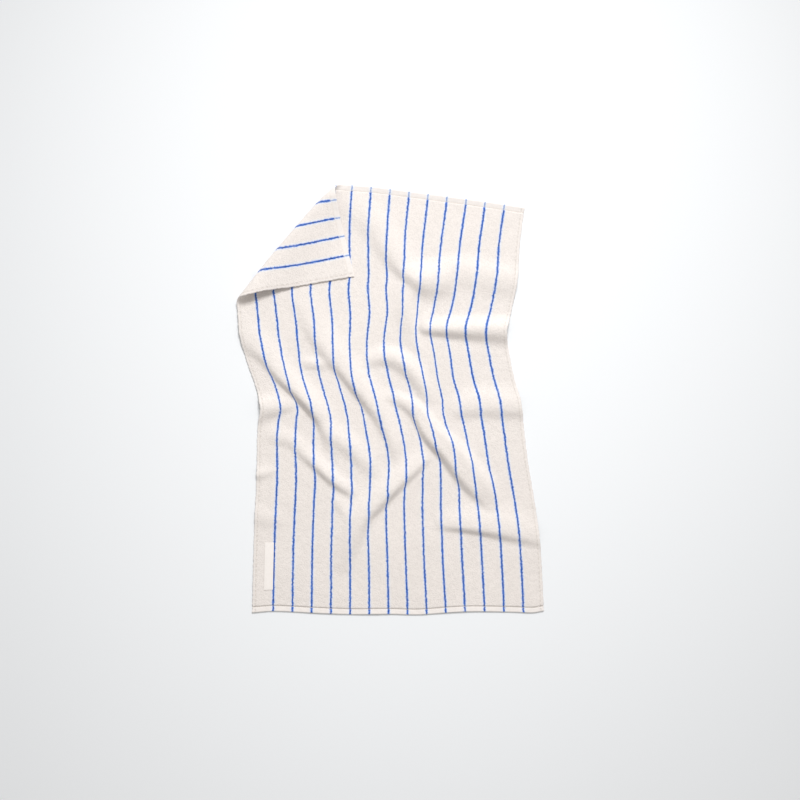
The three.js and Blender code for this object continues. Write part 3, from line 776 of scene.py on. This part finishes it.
def seam_dimples(nodes, sizes, side, down):
    """1 where the seam of a side hem pulls the pile in, at uneven steps along it. The bump sinks there, and
    the colour is darkened there as painted shade.
    """
    near = nodes.rest(nodes.ramp(nodes.distance(side, sizes.side_hem / MM), *DIMPLE_EDGE))
    along = {"W": nodes.times(down, 0.09)}
    stray = nodes.add("ShaderNodeTexNoise", along, noise_dimensions="1D").outputs[0]
    phase = nodes.line(stray, 9.0, nodes.times(down, 2 * np.pi / DIMPLE_PITCH))
    return nodes.times(near, nodes.ramp(nodes.math("SINE", phase), 0.1, 0.9))


def stripe_masks(nodes, looks, place, loop_middle, top_hem):
    """1 on the stripes, 1 along their cores, and 1 on them and beside them, where loops of both colours mix.

    A loop is of one colour, so the edges are as ragged as the loops.
    """
    pitch = looks.stripe_pitch / MM
    wander = nodes.math("SUBTRACT", nodes.noise(place, 0.11, 2.0), 0.5)
    sway = nodes.times(wander, looks.stripe_sway / MM * 2)
    own_loop = nodes.line(top_hem, -RAGGED, RAGGED)
    ragged = nodes.mix_value(own_loop, nodes.part(place, 0), nodes.part(loop_middle, 0))
    at = nodes.math("ADD", nodes.math("SUBTRACT", ragged, looks.stripe_first / MM), sway)
    turns = nodes.math("DIVIDE", at, pitch)
    number = nodes.math("FLOOR", nodes.math("ADD", turns, 0.5))
    away = nodes.times(nodes.distance(turns, number), pitch)
    half = nodes.mix_value(top_hem, looks.stripe / MM / 2, looks.hem_stripe / MM / 2)
    swell = nodes.line(nodes.noise(place, 0.32, 1.0), 2 * STRIPE_SWELL, -STRIPE_SWELL)
    past = nodes.math("SUBTRACT", away, nodes.math("ADD", half, swell))
    after_first = nodes.math("GREATER_THAN", number, -0.5)
    real = nodes.times(after_first, nodes.math("LESS_THAN", number, looks.stripe_count - 0.5))
    edges = (STRIPE_EDGE, CORE_EDGE, (HALO_START, looks.mixed / MM))
    inside, core, halo = (nodes.rest(nodes.ramp(past, *edge)) for edge in edges)
    return nodes.times(inside, real), core, nodes.times(halo, real)


def label_material(looks):
    """Off-white tape in plain weave."""
    material, nodes, shader = new_material("woven_tape", 0.7, 0.1)
    place = cloth_place(nodes, LABEL_WIDTH, LABEL_LENGTH)
    share = nodes.times(patches(nodes, place, 5.0), 0.5)
    nodes.link(nodes.mix_colour(share, opaque(looks.label), opaque(LABEL_SHADE)), shader["Base Color"])
    nodes.link(nodes.bump(weave(nodes, place, 0.45), 0.6, 0.0001), shader["Normal"])
    return material


def thread_material(name, colour):
    """Sewing cotton, a little uneven in colour."""
    material, nodes, shader = new_material(name, 0.75, 0.1)
    at = nodes.add("ShaderNodeTexCoord").outputs["Object"]
    place = nodes.vector("MULTIPLY", at, (1 / MM, 1 / MM, 1 / MM))
    darker = [0.8 * part for part in colour]
    share = patches(nodes, place, 1.5)
    nodes.link(nodes.mix_colour(share, opaque(darker), opaque(colour)), shader["Base Color"])
    return material


def stitch_tree():
    """Geometry nodes that lay short stitches along a path, flat on the surface with the normals "up"."""
    tree = bpy.data.node_groups.new("Stitch Row", "GeometryNodeTree")
    nodes = Nodes(tree)
    inputs = [
        ("Path", "Geometry", None),
        ("Pitch", "Float", 0.0038),
        ("Stitch Length", "Float", 0.0030),
        ("Thread", "Float", 0.0007),
        ("Sway", "Float", 0.1),
        ("Seed", "Int", 3),
        ("Material", "Material", None),
    ]
    add_sockets(tree, inputs, [("Stitches", "Geometry")])
    given = nodes.add("NodeGroupInput").outputs
    curve = nodes.add("GeometryNodeMeshToCurve", {"Mesh": given["Path"]}).outputs[0]
    steps = nodes.add("GeometryNodeResampleCurve", {"Curve": curve, "Length": given["Pitch"]}, mode="LENGTH")
    up = nodes.add("GeometryNodeInputNamedAttribute", {"Name": "up"}, data_type="FLOAT_VECTOR").outputs[0]
    tangent = nodes.add("GeometryNodeInputTangent").outputs[0]
    upright = nodes.add("FunctionNodeAlignRotationToVector", {"Vector": up}, axis="Z")
    inputs = {"Rotation": upright.outputs[0], "Vector": tangent}
    along = nodes.add("FunctionNodeAlignRotationToVector", inputs, axis="X", pivot_axis="Z")
    low = nodes.math("MULTIPLY", given["Sway"], -1.0)
    inputs = {2: low, 3: given["Sway"], "Seed": given["Seed"]}
    turn = nodes.add("FunctionNodeRandomValue", inputs, data_type="FLOAT")
    spun = nodes.add("ShaderNodeCombineXYZ", {"Z": turn.outputs[1]})
    inputs = {"Rotation": along.outputs[0], "Rotate By": spun.outputs[0]}
    rotation = nodes.add("FunctionNodeRotateRotation", inputs, rotation_space="LOCAL")
    bead = nodes.add("GeometryNodeMeshUVSphere", {"Segments": 6, "Rings": 5, "Radius": 0.5}).outputs[0]
    smooth = nodes.add("GeometryNodeSetShadeSmooth", {"Geometry": bead}).outputs[0]
    inputs = {"X": given["Stitch Length"], "Y": given["Thread"], "Z": given["Thread"]}
    size = nodes.add("ShaderNodeCombineXYZ", inputs)
    inputs = {"Points": steps.outputs[0], "Instance": smooth, "Scale": size.outputs[0]}
    laid = nodes.add("GeometryNodeInstanceOnPoints", {**inputs, "Rotation": rotation.outputs[0]})
    real = nodes.add("GeometryNodeRealizeInstances", {"Geometry": laid.outputs[0]})
    inputs = {"Geometry": real.outputs[0], "Material": given["Material"]}
    painted = nodes.add("GeometryNodeSetMaterial", inputs)
    nodes.add("NodeGroupOutput", {0: painted.outputs[0]})
    return tree


def sew(name, paths, material, sizes, tree):
    """A mesh of stitches along paths. Each path is (its points in metres, the surface normals at them)."""
    mesh = bpy.data.meshes.new(name + "_path")
    points = np.concatenate([path for path, _ in paths])
    ups = np.concatenate([up for _, up in paths])
    edges = []
    start = 0
    for path, _ in paths:
        edges += [(start + k, start + k + 1) for k in range(len(path) - 1)]
        start += len(path)
    mesh.from_pydata(points, edges, [])
    attribute = mesh.attributes.new("up", "FLOAT_VECTOR", "POINT")
    attribute.data.foreach_set("vector", ups.astype(np.float32).ravel())
    path_object = put(name + "_path", mesh)
    modifier = path_object.modifiers.new("Stitches", "NODES")
    modifier.node_group = tree
    values = {
        "Pitch": sizes.pitch,
        "Stitch Length": sizes.length,
        "Thread": sizes.thread,
        "Seed": sizes.seed,
        "Material": material,
    }
    for item in tree.interface.items_tree:
        if item.in_out == "INPUT" and item.name in values:
            modifier[item.identifier] = values[item.name]
    seen = path_object.evaluated_get(bpy.context.evaluated_depsgraph_get())
    sewn = bpy.data.meshes.new_from_object(seen)
    path_object.modifiers.remove(modifier)
    bpy.data.objects.remove(path_object)
    sewn.name = name
    return put(name, sewn)


def seam_paths(cloth, us, vs, thread):
    """Paths along us, vs on the front and the back of the cloth, as sew() wants them."""
    us, vs = np.broadcast_arrays(np.asarray(us, float), np.asarray(vs, float))
    _, up = cloth.frame(us, vs)
    paths = []
    for side in (1, -1):
        path = cloth.place(us, vs, side * (cloth.thickness(us, vs) / 2 + STITCH_LIFT))
        path[..., 2] = np.maximum(path[..., 2], thread / 2)
        paths.append((path, up * side))
    return paths


def length_property(name, description, default):
    return FloatProperty(name=name, description=description, default=default, unit="LENGTH")


def share_property(name, description, default):
    return FloatProperty(name=name, description=description, default=default, subtype="FACTOR")


def colour_property(name, description, default):
    return FloatVectorProperty(name=name, description=description, default=default, subtype="COLOR")


def place_property(name, description, default):
    return FloatVectorProperty(name=name, description=description, default=default, subtype="XYZ")


class TowelCloth(PropertyGroup):
    """Sizes of the cloth."""

    pile: length_property("Pile", "Thickness of the looped cloth", 0.003)
    hem: length_property("Hem", "Thickness of the flat hems", 0.002)
    hem_depth: length_property("Hem depth", "Depth of the two end hems", 0.010)
    hem_curl: length_property("Hem curl", "Lift of the end hems' outer edge", 0.0017)
    side_hem: length_property("Side hem", "Width of the two side hems", 0.0053)
    side_wave: length_property("Side wave", "Bulge of the long sides between stitches", 0.0004)
    cell: length_property("Cell", "Spacing of the mesh", 0.00305)
    unevenness: length_property("Unevenness", "Height of the soft lumps under the cloth", 0.0025)
    seed: IntProperty(name="Seed", description="Choice of the soft lumps", default=5)


class TowelLooks(PropertyGroup):
    """Stripes, colours and pile of the cloth."""

    stripe_count: IntProperty(name="Stripes", description="Number of stripes", default=14)
    stripe_first: length_property("First stripe", "From the left side to the first stripe", 0.036)
    stripe_pitch: length_property("Stripe pitch", "From one stripe to the next", 0.033)
    stripe: length_property("Stripe", "Width of a stripe", 0.0032)
    hem_stripe: length_property("Stripe in hem", "Width of a stripe in the top hem", 0.0020)
    stripe_sway: length_property("Sway", "How far a stripe wanders to each side", 0.0008)
    cream: colour_property("Cream", "Colour of the ground", (0.905, 0.848, 0.808))
    blue: colour_property("Blue", "Colour of the stripes", (0.050, 0.180, 0.66))
    navy: colour_property("Navy", "Colour of the darkest loops in a stripe", (0.014, 0.050, 0.24))
    tinted: colour_property("Tinted", "Colour of the loops beside a stripe", (0.845, 0.860, 0.920))
    mixed: length_property("Mixed", "Width beside a stripe where colours mix", 0.0040)
    hem_blue: colour_property("Hem blue", "Colour of the stripes in the top hem", (0.24, 0.36, 0.66))
    hem_cream: colour_property("Hem cream", "Colour of the end hems", (0.895, 0.845, 0.812))
    label: colour_property("Label", "Colour of the label", (0.92, 0.875, 0.84))
    loop: length_property("Loop", "Size of a pile loop", 0.0017)
    thread: length_property("Thread", "Pitch of the flat weave", 0.0009)
    bump: share_property("Bump", "Strength of the pile's relief", 0.5)
    sheen: share_property("Sheen", "Soft glow of the fibres", 0.15)


class TowelSewing(PropertyGroup):
    """Sizes of the stitches."""

    pitch: length_property("Pitch", "From one stitch to the next", 0.0036)
    length: length_property("Length", "Length of a stitch", 0.0031)
    thread: length_property("Thread", "Thickness of the thread", 0.0007)
    seed: IntProperty(name="Seed", description="Choice of the stitches' sway", default=3)


class TowelStage(PropertyGroup):
    """Floor, light and camera."""

    floor: colour_property("Floor", "Colour of the floor", (0.87, 0.892, 0.915))
    floor_width: length_property("Floor width", "Side of the floor", 6.0)
    seen_width: length_property("Seen width", "Width of floor that the camera sees", 1.374)
    sky: FloatProperty(name="Sky", description="Strength of the even light", default=0.52)
    sky_colour: colour_property("Sky colour", "Colour of the even light", (1.0, 0.975, 0.95))
    lamp: FloatProperty(name="Lamp", description="Power of the soft lamp", default=13.5, unit="POWER")
    lamp_place: place_property("Lamp place", "Middle of the soft lamp", (0.25, 1.6, 1.8))
    lamp_aim: place_property("Lamp aim", "Point that the lamp faces", (-0.03, -0.5, 0.0))
    lamp_width: length_property("Lamp width", "Side of the lamp", 0.7)
    lamp_spread: FloatProperty(
        name="Lamp spread", description="Angle that the lamp lights", default=radians(92), subtype="ANGLE"
    )


def finish_piece(piece, material=None):
    """Gives a piece its material and its body."""
    if material:
        piece.data.materials.clear()
        piece.data.materials.append(material)
    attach(piece, "root")


class TOWEL_OT_cloth(Operator):
    """Lay the striped cloth over its wrinkles, with its corner folded over"""

    bl_idname = "towel.cloth"
    bl_label = "Lay the cloth"

    def execute(self, context):
        sizes = context.scene.towel_cloth
        cloth = cloth_of(context)
        cell = sizes.cell / MM
        piece = sheet_object(
            "towel_cloth",
            cloth,
            steps_between(CLOTH_WIDTH, SIDE_STEPS, cell),
            steps_between(CLOTH_LENGTH, END_STEPS, cell),
            lambda u, v: cloth.thickness(u, v) / 2,
            lambda u, v: -cloth.thickness(u, v) / 2,
            lambda u, v: (u / CLOTH_WIDTH, v / CLOTH_LENGTH),
        )
        finish_piece(piece, terry_material(sizes, context.scene.towel_looks))
        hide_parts("towel")
        return {"FINISHED"}


class TOWEL_OT_label(Operator):
    """Sew the bare woven label onto the front"""

    bl_idname = "towel.label"
    bl_label = "Sew on the label"

    def execute(self, context):
        cloth = cloth_of(context)
        top_v = CLOTH_LENGTH - LABEL_FROM_BOTTOM_HEM - LABEL_LENGTH
        underside = cloth.pile / 2 + LABEL_GAP

        def upper(u, v):
            across = np.minimum(u - LABEL_U, LABEL_U + LABEL_WIDTH - u)
            down = np.minimum(v - top_v, top_v + LABEL_LENGTH - v)
            rim = np.minimum(across, down)
            body = LABEL_THICKNESS * np.clip(0.5 + rim, 0, 1)
            return underside + body - groove(rim - LABEL_SEAM_IN, *LABEL_SEAM)

        piece = sheet_object(
            "woven_label",
            cloth,
            LABEL_U + steps_between(LABEL_WIDTH, LABEL_STEPS, LABEL_CELL[0]),
            top_v + steps_between(LABEL_LENGTH, LABEL_STEPS, LABEL_CELL[1]),
            upper,
            lambda u, v: np.full_like(u, underside),
            lambda u, v: ((u - LABEL_U) / LABEL_WIDTH, (v - top_v) / LABEL_LENGTH),
        )
        finish_piece(piece, label_material(context.scene.towel_looks))
        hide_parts("label")
        return {"FINISHED"}


class TOWEL_OT_sewing(Operator):
    """Sew the end hems and the side hems of the towel"""

    bl_idname = "towel.sewing"
    bl_label = "Sew the hems"

    def execute(self, context):
        cloth = cloth_of(context)
        sizes = context.scene.towel_sewing
        tree = stitch_tree()
        cotton = thread_material("sewing_cotton", COTTON)
        us = np.linspace(SEAM_END, CLOTH_WIDTH - SEAM_END, SEAM_POINTS[0])
        vs = np.linspace(SEAM_END, CLOTH_LENGTH - SEAM_END, SEAM_POINTS[1])
        ends = (cloth.hem_depth - END_STITCH_OUT, CLOTH_LENGTH - cloth.hem_depth + END_STITCH_OUT)
        sides = (cloth.side_hem - SIDE_STITCH_OUT, CLOTH_WIDTH - cloth.side_hem + SIDE_STITCH_OUT)
        rows = {"end_hem_stitches": [(us, v) for v in ends], "side_hem_stitches": [(u, vs) for u in sides]}
        for name, seams in rows.items():
            paths = sum((seam_paths(cloth, *seam, sizes.thread) for seam in seams), [])
            finish_piece(sew(name, paths, cotton, sizes, tree))
        return {"FINISHED"}


class TOWEL_OT_stage(Operator):
    """Set up the pale floor, the soft light and the camera above the towel"""

    bl_idname = "towel.stage"
    bl_label = "Set up the stage"

    def execute(self, context):
        scene = context.scene
        stage = scene.towel_stage
        half = stage.floor_width / 2
        corners = [(-half, -half), (half, -half), (half, half), (-half, half)]
        mesh = bpy.data.meshes.new("floor")
        mesh.from_pydata([(x, y, -FLOOR_DROP) for x, y in corners], [], [(0, 1, 2, 3)])
        material, _, shader = new_material("pale_floor", 0.8, 0.0)
        shader["Base Color"].default_value = opaque(stage.floor)
        mesh.materials.append(material)
        put("floor", mesh)

        world = bpy.data.worlds.new("even_light")
        world.use_nodes = True
        background = world.node_tree.nodes["Background"]
        background.inputs["Color"].default_value = opaque(stage.sky_colour)
        background.inputs["Strength"].default_value = stage.sky
        scene.world = world

        lamp_data = bpy.data.lights.new("soft_lamp", "AREA")
        lamp_data.energy = stage.lamp
        lamp_data.size = stage.lamp_width
        lamp_data.spread = stage.lamp_spread
        lamp = put("soft_lamp", lamp_data)
        lamp.location = stage.lamp_place
        facing = Vector(stage.lamp_aim) - Vector(stage.lamp_place)
        lamp.rotation_euler = facing.to_track_quat("-Z", "Y").to_euler()

        camera_data = bpy.data.cameras.new("overhead")
        camera_data.lens = 50
        camera_data.sensor_width = 24
        camera = put("overhead", camera_data)
        middle = cloth_of(context).shift[:2] + PHOTO_MIDDLE
        height = stage.seen_width * camera_data.lens / camera_data.sensor_width
        camera.location = (middle[0] * MM, middle[1] * MM, height)
        scene.camera = camera
        scene.view_settings.view_transform = "Standard"
        return {"FINISHED"}


class TOWEL_PT_panel(Panel):
    """The towel's pieces and sizes"""

    bl_idname = "TOWEL_PT_panel"
    bl_label = "Hand towel"
    bl_space_type = "VIEW_3D"
    bl_region_type = "UI"
    bl_category = "Hand towel"

    def draw(self, context):
        for group in PROPERTY_GROUPS:
            box = self.layout.box()
            settings = getattr(context.scene, group)
            for name in settings.__annotations__:
                box.prop(settings, name)
        for operator in OPERATORS:
            self.layout.operator(operator.bl_idname)


PROPERTY_GROUPS = {
    "towel_cloth": TowelCloth,
    "towel_looks": TowelLooks,
    "towel_sewing": TowelSewing,
    "towel_stage": TowelStage,
}
OPERATORS = (TOWEL_OT_stage, TOWEL_OT_cloth, TOWEL_OT_label, TOWEL_OT_sewing)


def register():
    for item in (*PROPERTY_GROUPS.values(), *OPERATORS, TOWEL_PT_panel):
        bpy.utils.register_class(item)
    for name, group in PROPERTY_GROUPS.items():
        setattr(bpy.types.Scene, name, PointerProperty(type=group))


def unregister():
    for name in PROPERTY_GROUPS:
        delattr(bpy.types.Scene, name)
    for item in (TOWEL_PT_panel, *reversed(OPERATORS), *reversed(list(PROPERTY_GROUPS.values()))):
        bpy.utils.unregister_class(item)


def main():
    register()
    for operator in OPERATORS:
        group, name = operator.bl_idname.split(".")
        getattr(getattr(bpy.ops, group), name)()


if __name__ == "__main__":
    main()
